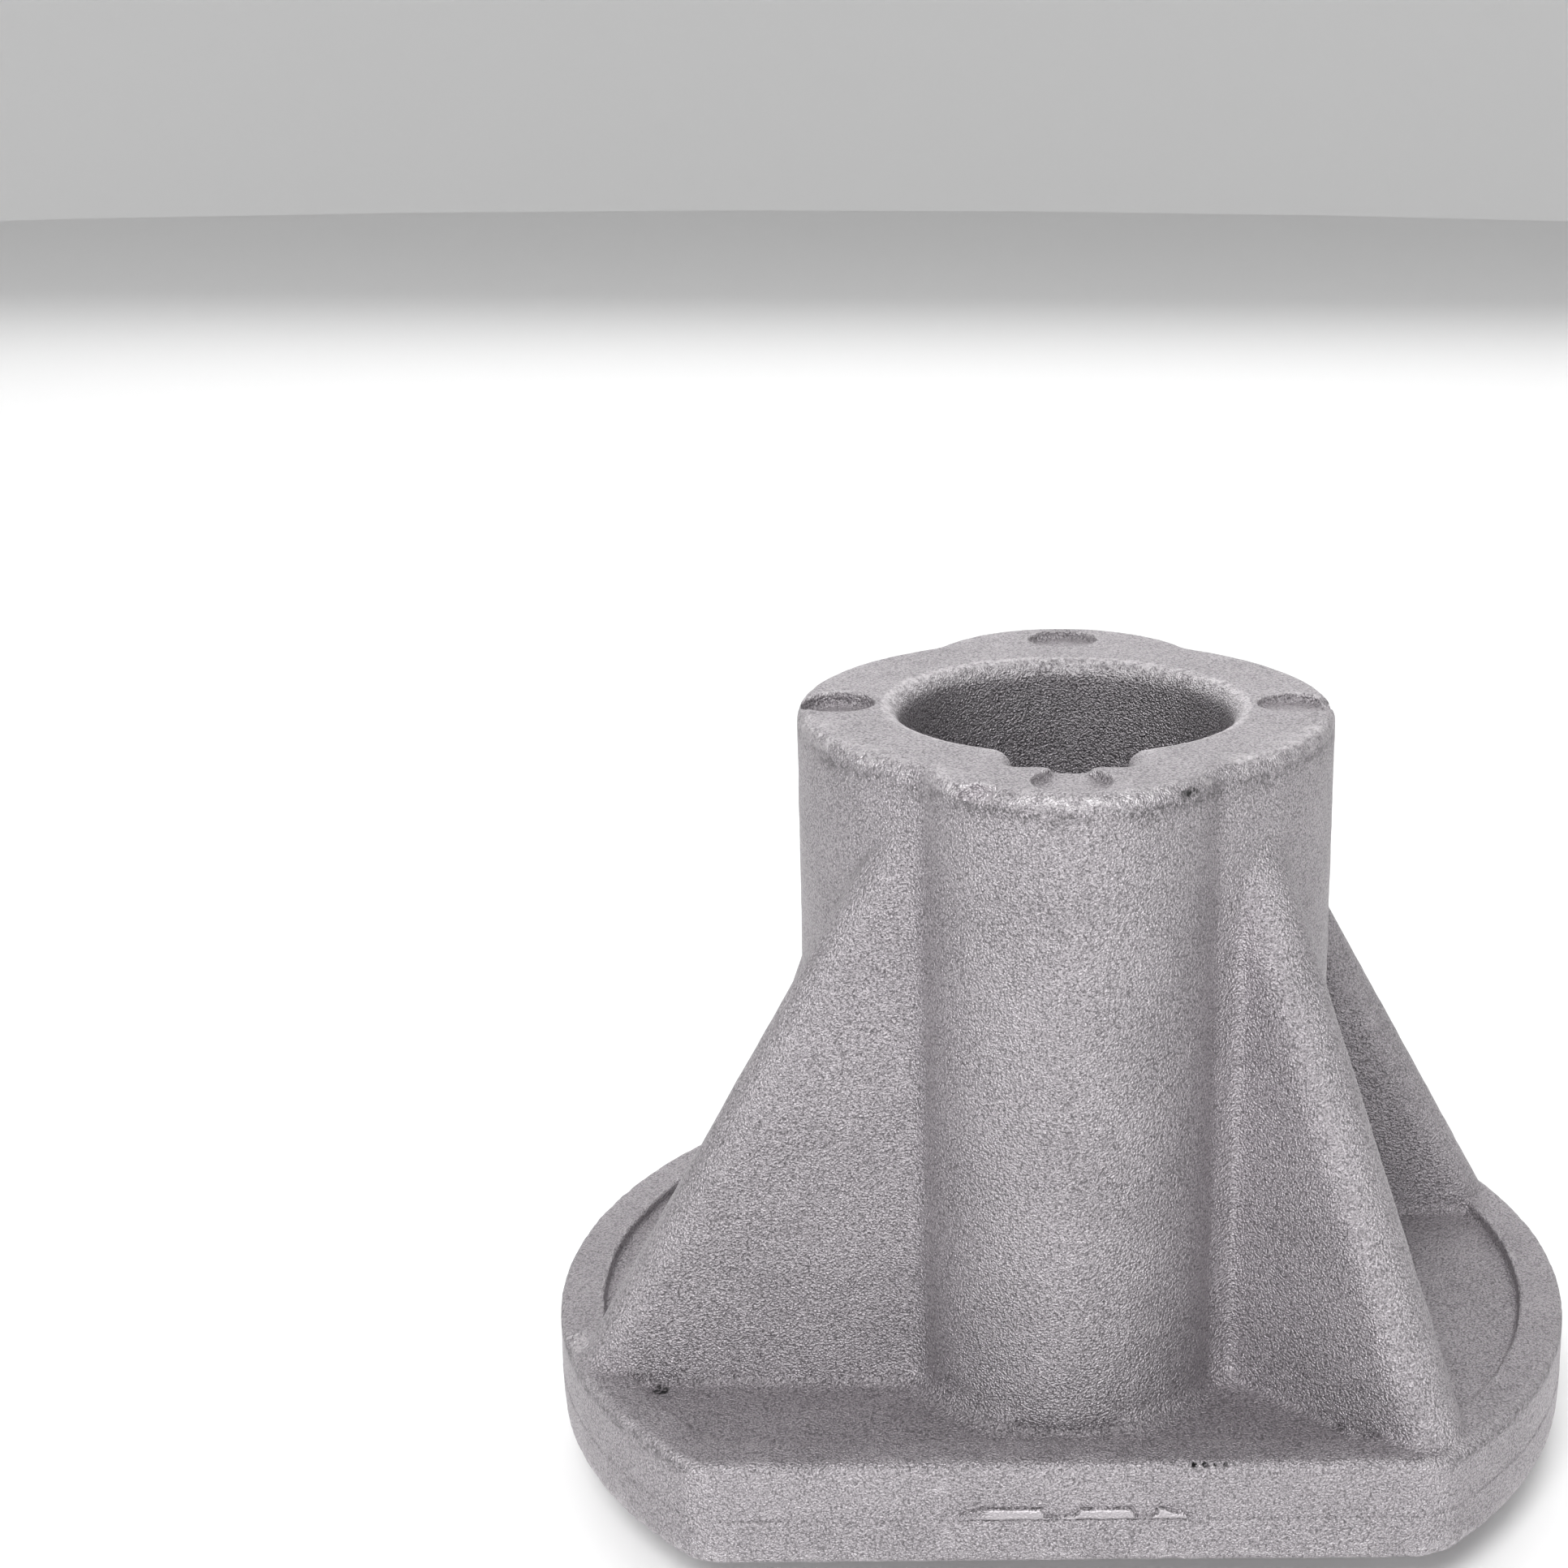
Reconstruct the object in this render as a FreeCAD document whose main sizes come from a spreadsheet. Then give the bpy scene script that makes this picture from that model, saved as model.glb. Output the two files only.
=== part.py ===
import FreeCAD, Part
import Sketcher
import math
import os

# Blade adapter hub: one aluminium casting that carries a mower blade on a crankshaft.
# The origin is on the crankshaft axis, in the face that the blade seats on. +Z points up
# the barrel, X runs through the two drive pins, and the keyway is on the -Y side.

# Driving sizes, in millimetres, with angles in degrees
SIZES = {
    # plate: a disc with two flats and rounded corners, drafted both ways from its parting line
    "plate_length": 80.0,
    "lobe_to_flat": 6.15,
    "plate_thickness": 8.0,
    "plate_corner_radius": 4.5,
    "parting_height": 3.6,
    "plate_draft": 1.0,
    "plate_top_radius": 0.5,
    "plate_bottom_radius": 0.3,
    # shallow recess in the top of the plate, inside an even rim
    "rim_width": 3.5,
    "recess_depth": 1.0,
    "recess_corner_radius": 5.0,
    # barrel: a tube with a lobe on the -Y and on the +Y side
    "hub_height": 55.0,
    "barrel_diameter": 40.0,
    "lobe_radius": 11.0,
    "lobe_reach": 24.0,
    "lobe_corner_radius": 2.0,
    "barrel_draft": 0.5,
    "barrel_top_radius": 0.8,
    # cove where the barrel meets the recess floor, cut away at the front of each lobe
    "base_radius": 1.5,
    "trim_width": 7.8,
    "trim_flare": 1.0,
    "trim_bite": 0.1,
    # blind bore for the crankshaft, with its keyway
    "bore_diameter": 25.0,
    "bore_floor_height": 6.0,
    "keyway_width": 8.0,
    "keyway_depth": 3.3,
    "keyway_shoulder_radius": 1.6,
    "keyway_corner_radius": 0.5,
    "mouth_radius": 1.5,
    # four ribs with round crests: two along X beside the axis, two on a diagonal through it
    "rib_thickness": 5.5,
    "rib_head_depth": 1.2,
    "rib_draft": 0.4,
    "rib_corner_radius": 0.6,
    "straight_rib_turn": 0.0,
    "straight_rib_gap": 0.5,
    "straight_rib_inset": 3.5,
    "straight_rib_height": 47.6,
    "diagonal_rib_turn": 135.0,
    "diagonal_rib_inset": 0.8,
    "diagonal_rib_height": 48.6,
    # underside: pilot boss in a shallow relief, bolt hole and two drive pins
    "boss_diameter": 19.2,
    "boss_height": 3.0,
    "boss_edge_radius": 0.6,
    "relief_diameter": 23.0,
    "relief_depth": 1.3,
    "bolt_hole_diameter": 10.4,
    "bolt_hole_edge_radius": 0.3,
    "pin_diameter": 8.0,
    "pin_length": 4.2,
    "pin_spacing": 71.0,
    "pin_edge_radius": 0.7,
    # four ejector pin marks on the barrel's end face, the front one broken through to the keyway
    "mark_diameter": 5.5,
    "mark_depth": 0.7,
    "left_mark_depth": 1.1,
    "side_mark_distance": 17.0,
    "lobe_mark_distance": 20.0,
    "mark_break_width": 2.6,
    # witness of the gate on the front flat, at the parting line
    "gate_length": 16.8,
    "gate_height": 0.9,
    "gate_depth": 0.2,
    "plate_edge_overlap": 0.5,
}
NEAR = 0.01  # how close two places have to be to count as the same
FIRST, LAST, CENTRE = range(1, 4)  # the ends and the centre of a sketch's edge
LEVEL, UPRIGHT = range(-1, -3, -1)  # the level and the upright axis of a sketch
ORIGIN = (LEVEL, FIRST)  # the origin of a sketch

doc = FreeCAD.newDocument("blade_adapter_hub")
sheet = doc.addObject("Spreadsheet::Sheet", "Sizes")
for row, (alias, value) in enumerate(SIZES.items(), start=1):
    sheet.set(f"A{row}", alias)
    sheet.set(f"B{row}", str(value))
    sheet.setAlias(f"B{row}", alias)
doc.recompute()

body = doc.addObject("PartDesign::Body", "hub_casting")
body.Label = "hub_casting"


def size(alias):
    """A driving size, as the sheet holds it."""
    return float(sheet.get(alias))


def origin_feature(role):
    """The body's own origin plane or axis with this role."""
    for item in body.Origin.OriginFeatures:
        if item.Role == role:
            return item
    raise RuntimeError("no origin feature " + role)


def new_sketch(name, plane, lift=None, turn=None):
    """A sketch on an origin plane, lifted along the plane's normal and turned about it."""
    sketch = body.newObject("Sketcher::SketchObject", name)
    sketch.AttachmentSupport = [(origin_feature(plane), "")]
    sketch.MapMode = "FlatFace"
    if turn is not None:
        turned = FreeCAD.Rotation(FreeCAD.Vector(0, 0, 1), size(turn))
        sketch.AttachmentOffset = FreeCAD.Placement(FreeCAD.Vector(), turned)
        sketch.setExpression("AttachmentOffset.Rotation.Angle", "Sizes." + turn)
    if lift is not None:
        sketch.setExpression("AttachmentOffset.Base.z", lift)
    return sketch


def constrain(sketch, kind, *where, value=None, expression=None):
    """Adds a constraint and, for a dimension, ties it to the sheet."""
    args = list(where)
    if expression is not None:
        args.append(value)
    index = sketch.addConstraint(Sketcher.Constraint(kind, *args))
    if expression is not None:
        sketch.setExpression(f"Constraints[{index}]", expression)


def line(start, end):
    """A straight edge between two places of a sketch."""
    return Part.LineSegment(FreeCAD.Vector(*start, 0), FreeCAD.Vector(*end, 0))


def circle(centre, radius):
    """A full circle of a sketch."""
    return Part.Circle(FreeCAD.Vector(*centre, 0), FreeCAD.Vector(0, 0, 1), radius)


def arc(centre, radius, start, end):
    """An arc of a circle between two angles in degrees."""
    return Part.ArcOfCircle(circle(centre, radius), math.radians(start), math.radians(end))


def feature(kind, name, profile=None, grows=None, **settings):
    """A feature of the body, whose text settings are expressions. Stops if it fails or does nothing."""
    before = 0.0 if grows is None or body.Tip is None else body.Tip.Shape.Volume
    made = body.newObject("PartDesign::" + kind, name)
    if profile is not None:
        made.Profile = profile
        profile.Visibility = False
    for key, value in settings.items():
        if isinstance(value, str):
            made.setExpression(key, value)
        else:
            setattr(made, key, value)
    body.Tip = made
    doc.recompute()
    for item in (profile, made):
        if item is not None and not item.isValid():
            raise RuntimeError(f"{item.Name}: {item.getStatusString()}")
    if grows is not None:
        change = made.Shape.Volume - before
        if (change > 0) != grows or abs(change) < NEAR:
            raise RuntimeError(f"{name} changed the volume by {change:.4f}")
    return made


def repeat_round_axis(name, originals):
    """The same features again, half a turn round the crankshaft axis."""
    return feature(
        "PolarPattern", name, grows=originals[0].TypeId != "PartDesign::Pocket",
        Originals=originals,
        Axis=(origin_feature("Z_Axis"), [""]),
        Occurrences=2,
        Angle=360,
    )


def fillet(name, radius, chosen):
    """Rounds the edges of the body so far that a test picks."""
    names = [f"Edge{n}" for n, edge in enumerate(body.Tip.Shape.Edges, start=1) if chosen(edge)]
    if not names:
        raise RuntimeError("no edges found for " + name)
    return feature("Fillet", name, Base=(body.Tip, names), Radius="Sizes." + radius)


def middle(edge):
    """The middle of an edge."""
    first, last = edge.ParameterRange
    return edge.valueAt((first + last) / 2)


def from_axis(edge):
    """How far the middle of an edge lies from the crankshaft axis."""
    return math.hypot(middle(edge).x, middle(edge).y)


def is_level_at(edge, height):
    """Whether an edge lies level at a height."""
    return abs(edge.BoundBox.ZMin - height) < NEAR and abs(edge.BoundBox.ZMax - height) < NEAR


half_plate = size("lobe_reach") + size("lobe_to_flat")
HALF_PLATE = "(Sizes.lobe_reach + Sizes.lobe_to_flat)"


def plate_outline(name, lift, corner_radius, inset=None):
    """Disc with two flats and four rounded corners, moved inwards by a named size."""
    sketch = new_sketch(name, "XY_Plane", lift=lift)
    inset_value = size(inset) if inset else 0.0
    less = f" - Sizes.{inset}" if inset else ""
    end_radius = size("plate_length") / 2 - inset_value
    half_width = half_plate - inset_value
    corner = size(corner_radius)
    corner_y = half_width - corner
    corner_x = math.sqrt((end_radius - corner) ** 2 - corner_y**2)
    swing = math.degrees(math.atan2(corner_y, corner_x))
    pieces = [
        arc((0, 0), end_radius, -swing, swing),
        arc((corner_x, corner_y), corner, swing, 90),
        line((corner_x, half_width), (-corner_x, half_width)),
        arc((-corner_x, corner_y), corner, 90, 180 - swing),
        arc((0, 0), end_radius, 180 - swing, 180 + swing),
        arc((-corner_x, -corner_y), corner, 180 + swing, 270),
        line((-corner_x, -half_width), (corner_x, -half_width)),
        arc((corner_x, -corner_y), corner, 270, 360 - swing),
    ]
    sketch.addGeometry(pieces, False)
    right_end, left_end = 0, 4
    corners = (1, 3, 5, 7)
    back_flat, front_flat = 2, 6
    for index in range(len(pieces)):
        following = (index + 1) % len(pieces)
        constrain(sketch, "Tangent", index, LAST, following, FIRST)
    constrain(sketch, "Coincident", right_end, CENTRE, *ORIGIN)
    constrain(sketch, "Coincident", left_end, CENTRE, *ORIGIN)
    constrain(sketch, "Horizontal", back_flat)
    constrain(sketch, "Horizontal", front_flat)
    half_length = "Sizes.plate_length / 2" + less
    constrain(sketch, "Radius", right_end, value=end_radius, expression=half_length)
    constrain(sketch, "Equal", right_end, left_end)
    constrain(sketch, "Radius", corners[0], value=corner, expression="Sizes." + corner_radius)
    for other in corners[1:]:
        constrain(sketch, "Equal", corners[0], other)
    to_flat = HALF_PLATE + less
    constrain(sketch, "DistanceY", *ORIGIN, back_flat, FIRST, value=half_width, expression=to_flat)
    constrain(sketch, "DistanceY", front_flat, FIRST, *ORIGIN, value=half_width, expression=to_flat)
    return sketch


# Plate, drafted up and down from the parting line
feature(
    "Pad", "PlateAboveParting",
    plate_outline("PlateOutline", "Sizes.parting_height", "plate_corner_radius"), grows=True,
    Length="Sizes.plate_thickness - Sizes.parting_height",
    TaperAngle="-Sizes.plate_draft",
)
feature(
    "Pad", "PlateBelowParting",
    plate_outline("PlateOutlineBelow", "Sizes.parting_height", "plate_corner_radius"), grows=True,
    Reversed=True,
    Length="Sizes.parting_height",
    TaperAngle="-Sizes.plate_draft",
)
fillet("PlateTopEdge", "plate_top_radius", lambda edge: is_level_at(edge, size("plate_thickness")))
fillet("PlateBottomEdge", "plate_bottom_radius", lambda edge: is_level_at(edge, 0))

# Shallow recess in the top face, an even rim's width inside the outline
feature(
    "Pocket", "Recess",
    plate_outline("RecessOutline", "Sizes.plate_thickness", "recess_corner_radius", "rim_width"), grows=False,
    Length="Sizes.recess_depth",
)
floor = size("plate_thickness") - size("recess_depth")
FLOOR = "(Sizes.plate_thickness - Sizes.recess_depth)"


def barrel_outline():
    """Round tube with a lobe at the front and at the back, joined by rounded inside corners."""
    sketch = new_sketch("BarrelOutline", "XY_Plane", lift="Sizes.hub_height")
    wall = size("barrel_diameter") / 2
    lobe = size("lobe_radius")
    corner = size("lobe_corner_radius")
    lobe_y = size("lobe_reach") - lobe
    corner_y = ((wall + corner) ** 2 - (lobe + corner) ** 2 + lobe_y**2) / (2 * lobe_y)
    corner_x = math.sqrt((wall + corner) ** 2 - corner_y**2)
    wall_end = math.degrees(math.atan2(corner_y, corner_x))
    lobe_end = math.degrees(math.atan2(corner_y - lobe_y, corner_x))
    pieces = [
        arc((0, 0), wall, -wall_end, wall_end),
        arc((corner_x, corner_y), corner, 180 + lobe_end, 180 + wall_end),
        arc((0, lobe_y), lobe, lobe_end, 180 - lobe_end),
        arc((-corner_x, corner_y), corner, -wall_end, -lobe_end),
        arc((0, 0), wall, 180 - wall_end, 180 + wall_end),
        arc((-corner_x, -corner_y), corner, lobe_end, wall_end),
        arc((0, -lobe_y), lobe, 180 + lobe_end, 360 - lobe_end),
        arc((corner_x, -corner_y), corner, 180 - wall_end, 180 - lobe_end),
    ]
    sketch.addGeometry(pieces, False)
    right_wall, left_wall = 0, 4
    back_lobe, front_lobe = 2, 6
    corners = (1, 3, 5, 7)
    # the corners run the other way round than the walls and lobes
    for outer in (right_wall, back_lobe, left_wall, front_lobe):
        constrain(sketch, "Tangent", outer, LAST, outer + 1, LAST)
        constrain(sketch, "Tangent", outer + 1, FIRST, (outer + 2) % len(pieces), FIRST)
    constrain(sketch, "Coincident", right_wall, CENTRE, *ORIGIN)
    constrain(sketch, "Coincident", left_wall, CENTRE, *ORIGIN)
    constrain(sketch, "PointOnObject", back_lobe, CENTRE, UPRIGHT)
    constrain(sketch, "PointOnObject", front_lobe, CENTRE, UPRIGHT)
    constrain(sketch, "Radius", right_wall, value=wall, expression="Sizes.barrel_diameter / 2")
    constrain(sketch, "Equal", right_wall, left_wall)
    constrain(sketch, "Radius", back_lobe, value=lobe, expression="Sizes.lobe_radius")
    constrain(sketch, "Equal", back_lobe, front_lobe)
    constrain(sketch, "Radius", corners[0], value=corner, expression="Sizes.lobe_corner_radius")
    for other in corners[1:]:
        constrain(sketch, "Equal", corners[0], other)
    centre = "Sizes.lobe_reach - Sizes.lobe_radius"
    constrain(sketch, "DistanceY", *ORIGIN, back_lobe, CENTRE, value=lobe_y, expression=centre)
    constrain(sketch, "DistanceY", front_lobe, CENTRE, *ORIGIN, value=lobe_y, expression=centre)
    return sketch


feature(
    "Pad", "Barrel", barrel_outline(), grows=True,
    Reversed=True,
    Length="Sizes.hub_height - " + FLOOR,
    TaperAngle="Sizes.barrel_draft",
)
inside_recess = half_plate - size("rim_width") - NEAR
fillet("BarrelTopEdge", "barrel_top_radius", lambda edge: is_level_at(edge, size("hub_height")))
fillet(
    "BarrelBase", "base_radius",
    lambda edge: is_level_at(edge, floor) and from_axis(edge) < inside_recess,
)


def trim_outline():
    """Field in front of a lobe's foot where the cove is cut away, wider at its outer end."""
    sketch = new_sketch("BaseTrimOutline", "XY_Plane", lift=FLOOR)
    spread = (size("hub_height") - floor) * math.tan(math.radians(size("barrel_draft")))
    spread_text = f"(Sizes.hub_height - {FLOOR}) * tan(Sizes.barrel_draft * 1deg)"
    radius = size("lobe_radius") + spread - size("trim_bite")
    lobe_y = size("lobe_reach") - size("lobe_radius")
    half = size("trim_width") / 2
    outer_half = half + size("trim_flare")
    swing = math.degrees(math.acos(half / radius))
    arc_y = -lobe_y - math.sqrt(radius**2 - half**2)
    outer_y = -lobe_y - radius - size("base_radius")
    sketch.addGeometry([
        arc((0, -lobe_y), radius, 180 + swing, 360 - swing),
        line((half, arc_y), (outer_half, outer_y)),
        line((outer_half, outer_y), (-outer_half, outer_y)),
        line((-outer_half, outer_y), (-half, arc_y)),
    ], False)
    wall, right, outer, left = range(4)
    for index in range(4):
        constrain(sketch, "Coincident", index, LAST, (index + 1) % 4, FIRST)
    constrain(sketch, "Horizontal", outer)
    constrain(sketch, "PointOnObject", wall, CENTRE, UPRIGHT)
    centre = "Sizes.lobe_reach - Sizes.lobe_radius"
    constrain(sketch, "DistanceY", wall, CENTRE, *ORIGIN, value=lobe_y, expression=centre)
    wall_text = f"Sizes.lobe_radius + {spread_text} - Sizes.trim_bite"
    constrain(sketch, "Radius", wall, value=radius, expression=wall_text)
    half_text = "Sizes.trim_width / 2"
    constrain(sketch, "DistanceX", *ORIGIN, right, FIRST, value=half, expression=half_text)
    constrain(sketch, "DistanceX", left, LAST, *ORIGIN, value=half, expression=half_text)
    outer_half_text = half_text + " + Sizes.trim_flare"
    constrain(sketch, "DistanceX", *ORIGIN, right, LAST, value=outer_half, expression=outer_half_text)
    constrain(sketch, "DistanceX", left, FIRST, *ORIGIN, value=outer_half, expression=outer_half_text)
    outer_text = f"{centre} + {wall_text} + Sizes.base_radius"
    constrain(sketch, "DistanceY", outer, FIRST, *ORIGIN, value=-outer_y, expression=outer_text)
    return sketch


trim = feature(
    "Pocket", "BaseTrim", trim_outline(), grows=False,
    Reversed=True,
    Length="Sizes.base_radius",
)
repeat_round_axis("BaseTrims", [trim])


def rib_section(name, turn, lift, pivot, side_shift, taper):
    """Level section of a rib, from beside the axis to a round nose. Sizes are pairs of value and text."""
    sketch = new_sketch(name, "XY_Plane", lift=lift, turn=turn)
    half, half_text = size("rib_thickness") / 2, "(Sizes.rib_thickness / 2)"
    root_half = half * math.hypot(1, taper[0]) + pivot[0] * taper[0]
    swing = math.atan(taper[0])
    side_x = pivot[0] + half * math.sin(swing)
    side_y = half * math.cos(swing)
    middle_y = side_shift[0]
    turned = math.degrees(swing)
    pieces = [
        line((0, middle_y - root_half), (side_x, middle_y - side_y)),
        arc((pivot[0], middle_y), half, 270 + turned, 450 - turned),
        line((side_x, middle_y + side_y), (0, middle_y + root_half)),
        line((0, middle_y + root_half), (0, middle_y - root_half)),
    ]
    sketch.addGeometry(pieces, False)
    lower, round_nose, upper, inner = range(len(pieces))
    constrain(sketch, "Tangent", lower, LAST, round_nose, FIRST)
    constrain(sketch, "Tangent", round_nose, LAST, upper, FIRST)
    constrain(sketch, "Coincident", upper, LAST, inner, FIRST)
    constrain(sketch, "Coincident", inner, LAST, lower, FIRST)
    constrain(sketch, "PointOnObject", inner, FIRST, UPRIGHT)
    constrain(sketch, "PointOnObject", inner, LAST, UPRIGHT)
    constrain(sketch, "Radius", round_nose, value=half, expression=half_text)
    constrain(sketch, "DistanceX", *ORIGIN, round_nose, CENTRE, value=pivot[0], expression=pivot[1])
    root_text = f"{half_text} * sqrt(1 + ({taper[1]})^2) + ({pivot[1]}) * {taper[1]}"
    constrain(sketch, "DistanceY", lower, FIRST, round_nose, CENTRE, value=root_half, expression=root_text)
    constrain(sketch, "DistanceY", round_nose, CENTRE, upper, LAST, value=root_half, expression=root_text)
    if middle_y == 0:
        constrain(sketch, "PointOnObject", round_nose, CENTRE, LEVEL)
    else:
        constrain(sketch, "DistanceY", *ORIGIN, round_nose, CENTRE, value=middle_y, expression=side_shift[1])
    return sketch


def rib(name, turn, inset, meeting_height, side_shift):
    """A rib with a round crest, a constant section that leans in from its foot on the rim to the barrel."""
    draft = math.tan(math.radians(size("barrel_draft")))
    wall = size("barrel_diameter") / 2 + (size("hub_height") - size(meeting_height)) * draft
    wall_text = (
        f"(Sizes.barrel_diameter / 2 + (Sizes.hub_height - Sizes.{meeting_height})"
        " * tan(Sizes.barrel_draft * 1deg))"
    )
    run = size("plate_length") / 2 - size(inset) - math.sqrt(wall**2 - side_shift[0] ** 2)
    run_text = f"(Sizes.plate_length / 2 - Sizes.{inset} - sqrt({wall_text}^2 - ({side_shift[1]})^2))"
    lean = run / (size(meeting_height) - size("plate_thickness"))
    lean_text = f"({run_text} / (Sizes.{meeting_height} - Sizes.plate_thickness))"
    height = size("hub_height") - size("rib_head_depth") - floor
    top_text = "(Sizes.hub_height - Sizes.rib_head_depth)"
    taper = (math.tan(math.radians(size("rib_draft"))) / lean, f"tan(Sizes.rib_draft * 1deg) / {lean_text}")
    foot_pivot = (
        (size("plate_length") - size("rib_thickness")) / 2 - size(inset) + size("recess_depth") * lean,
        f"(Sizes.plate_length - Sizes.rib_thickness) / 2 - Sizes.{inset} + Sizes.recess_depth * {lean_text}",
    )
    head_pivot = (
        foot_pivot[0] - height * lean,
        f"{foot_pivot[1]} - ({top_text} - {FLOOR}) * {lean_text}",
    )
    foot = rib_section(name + "Foot", turn, FLOOR, foot_pivot, side_shift, taper)
    head = rib_section(name + "Head", turn, top_text, head_pivot, side_shift, taper)
    return feature("AdditiveLoft", name, foot, grows=True, Sections=[head], Ruled=True)


# The straight ribs lie just inside the line where a lobe would meet the round wall
lobe_centre = size("lobe_reach") - size("lobe_radius")
meeting = (size("barrel_diameter") ** 2 / 4 - size("lobe_radius") ** 2 + lobe_centre**2) / (2 * lobe_centre)
LOBE_CENTRE = "(Sizes.lobe_reach - Sizes.lobe_radius)"
MEETING = f"(Sizes.barrel_diameter^2 / 4 - Sizes.lobe_radius^2 + {LOBE_CENTRE}^2) / (2 * {LOBE_CENTRE})"
beside_axis = (
    meeting - size("straight_rib_gap") - size("rib_thickness") / 2,
    f"{MEETING} - Sizes.straight_rib_gap - Sizes.rib_thickness / 2",
)
through_axis = (0.0, "0")

# Two ribs, then the same pair again on the other side of the axis
ribs = [
    rib("StraightRib", "straight_rib_turn", "straight_rib_inset", "straight_rib_height", beside_axis),
    rib("DiagonalRib", "diagonal_rib_turn", "diagonal_rib_inset", "diagonal_rib_height", through_axis),
]
repeat_round_axis("RibsOnBothSides", ribs)


def is_on_barrel(place):
    """Whether a place lies on the round wall of the barrel."""
    spread = (size("hub_height") - place.z) * math.tan(math.radians(size("barrel_draft")))
    return abs(math.hypot(place.x, place.y) - size("barrel_diameter") / 2 - spread) < NEAR


def is_rib_corner(edge):
    """The inside corner between a rib's crest and the barrel, which runs on down to the rim."""
    ends = [vertex.Point for vertex in edge.Vertexes]
    above_base = edge.BoundBox.ZMin > floor + size("base_radius") + NEAR
    below_edge = edge.BoundBox.ZMax < size("hub_height") - size("barrel_top_radius") - NEAR
    return above_base and below_edge and all(is_on_barrel(place) for place in [middle(edge), *ends])


fillet("RibCorners", "rib_corner_radius", is_rib_corner)


def bore_outline():
    """Round bore with a keyway at the front, its shoulders and corners rounded."""
    sketch = new_sketch("BoreOutline", "XY_Plane", lift="Sizes.hub_height")
    bore = size("bore_diameter") / 2
    shoulder = size("keyway_shoulder_radius")
    corner = size("keyway_corner_radius")
    half = size("keyway_width") / 2
    bottom_y = -bore - size("keyway_depth")
    shoulder_x = half + shoulder
    shoulder_y = -math.sqrt((bore + shoulder) ** 2 - shoulder_x**2)
    swing = math.degrees(math.atan2(-shoulder_y, shoulder_x))
    pieces = [
        arc((0, 0), bore, -swing, 180 + swing),
        arc((-shoulder_x, shoulder_y), shoulder, 0, swing),
        line((-half, shoulder_y), (-half, bottom_y + corner)),
        arc((corner - half, bottom_y + corner), corner, 180, 270),
        line((corner - half, bottom_y), (half - corner, bottom_y)),
        arc((half - corner, bottom_y + corner), corner, 270, 360),
        line((half, bottom_y + corner), (half, shoulder_y)),
        arc((shoulder_x, shoulder_y), shoulder, 180 - swing, 180),
    ]
    sketch.addGeometry(pieces, False)
    round_wall, left_shoulder, left, left_corner, bottom, right_corner, right, right_shoulder = range(8)
    constrain(sketch, "Tangent", round_wall, LAST, left_shoulder, LAST)
    constrain(sketch, "Tangent", left_shoulder, FIRST, left, FIRST)
    for index in (left, left_corner, bottom, right_corner):
        constrain(sketch, "Tangent", index, LAST, index + 1, FIRST)
    constrain(sketch, "Tangent", right, LAST, right_shoulder, LAST)
    constrain(sketch, "Tangent", right_shoulder, FIRST, round_wall, FIRST)
    constrain(sketch, "Coincident", round_wall, CENTRE, *ORIGIN)
    constrain(sketch, "Vertical", left)
    constrain(sketch, "Vertical", right)
    constrain(sketch, "Horizontal", bottom)
    constrain(sketch, "Equal", left_shoulder, right_shoulder)
    constrain(sketch, "Equal", left_corner, right_corner)
    constrain(sketch, "Radius", round_wall, value=bore, expression="Sizes.bore_diameter / 2")
    constrain(sketch, "Radius", right_shoulder, value=shoulder, expression="Sizes.keyway_shoulder_radius")
    constrain(sketch, "Radius", right_corner, value=corner, expression="Sizes.keyway_corner_radius")
    constrain(sketch, "DistanceX", *ORIGIN, right, FIRST, value=half, expression="Sizes.keyway_width / 2")
    constrain(sketch, "DistanceX", left, LAST, *ORIGIN, value=half, expression="Sizes.keyway_width / 2")
    bottom_text = "Sizes.bore_diameter / 2 + Sizes.keyway_depth"
    constrain(sketch, "DistanceY", bottom, FIRST, *ORIGIN, value=-bottom_y, expression=bottom_text)
    return sketch


feature(
    "Pocket", "Bore", bore_outline(), grows=False,
    Length="Sizes.hub_height - Sizes.bore_floor_height",
)
inside_wall = size("barrel_diameter") / 2 - size("barrel_top_radius") - NEAR
fillet(
    "BoreMouth", "mouth_radius",
    lambda edge: is_level_at(edge, size("hub_height")) and from_axis(edge) < inside_wall,
)


def round_outline(name, lift, circles):
    """Circles, each given by its place, the texts of its distances and the name of its diameter."""
    sketch = new_sketch(name, "XY_Plane", lift=lift)
    for along_x, along_y, x_text, y_text, diameter in circles:
        index = sketch.addGeometry(circle((along_x, along_y), size(diameter) / 2), False)
        constrain(sketch, "Diameter", index, value=size(diameter), expression="Sizes." + diameter)
        for kind, axis, place, text in (
            ("DistanceX", UPRIGHT, along_x, x_text),
            ("DistanceY", LEVEL, along_y, y_text),
        ):
            if text is None:
                constrain(sketch, "PointOnObject", index, CENTRE, axis)
            elif place > 0:
                constrain(sketch, kind, *ORIGIN, index, CENTRE, value=place, expression=text)
            else:
                constrain(sketch, kind, index, CENTRE, *ORIGIN, value=-place, expression=text)
    return sketch


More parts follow.
